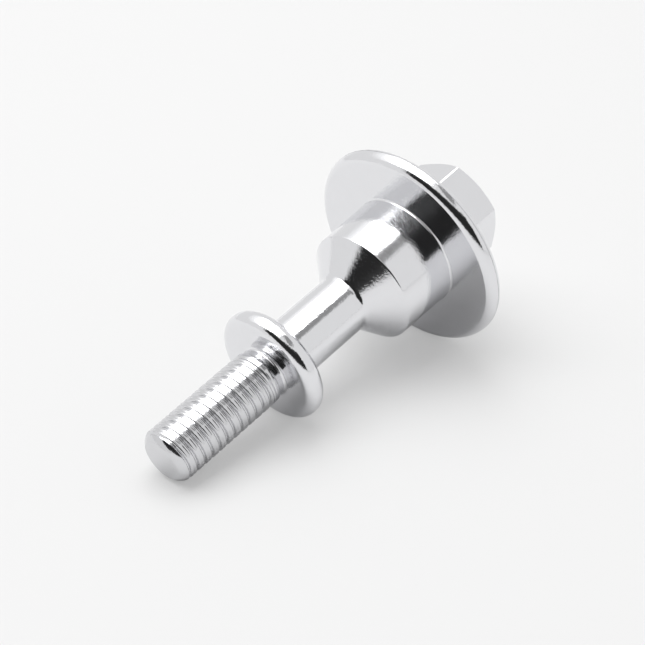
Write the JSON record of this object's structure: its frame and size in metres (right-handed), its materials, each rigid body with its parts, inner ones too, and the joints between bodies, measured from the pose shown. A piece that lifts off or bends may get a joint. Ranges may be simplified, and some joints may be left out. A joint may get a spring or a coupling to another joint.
{
  "type": "cylinder head bolt",
  "caption": "Chromed shouldered flange bolt with a hexagon head, tapered shoulder, plain neck, stop collar and threaded end, for clamping a cover through a rubber seal.",
  "frame": {"origin": "centre of the hexagon head's top face, on which the bolt stands", "axes": "+Z along the bolt's axis, from the head to the end of the thread; a corner of the hexagon lies on +X"},
  "size_m": [0.023, 0.023, 0.0443],
  "materials": {
    "bolt": "bright chrome plate"
  },
  "bodies": {
    "root": {"bolt": "bolt"}
  },
  "joints": []
}
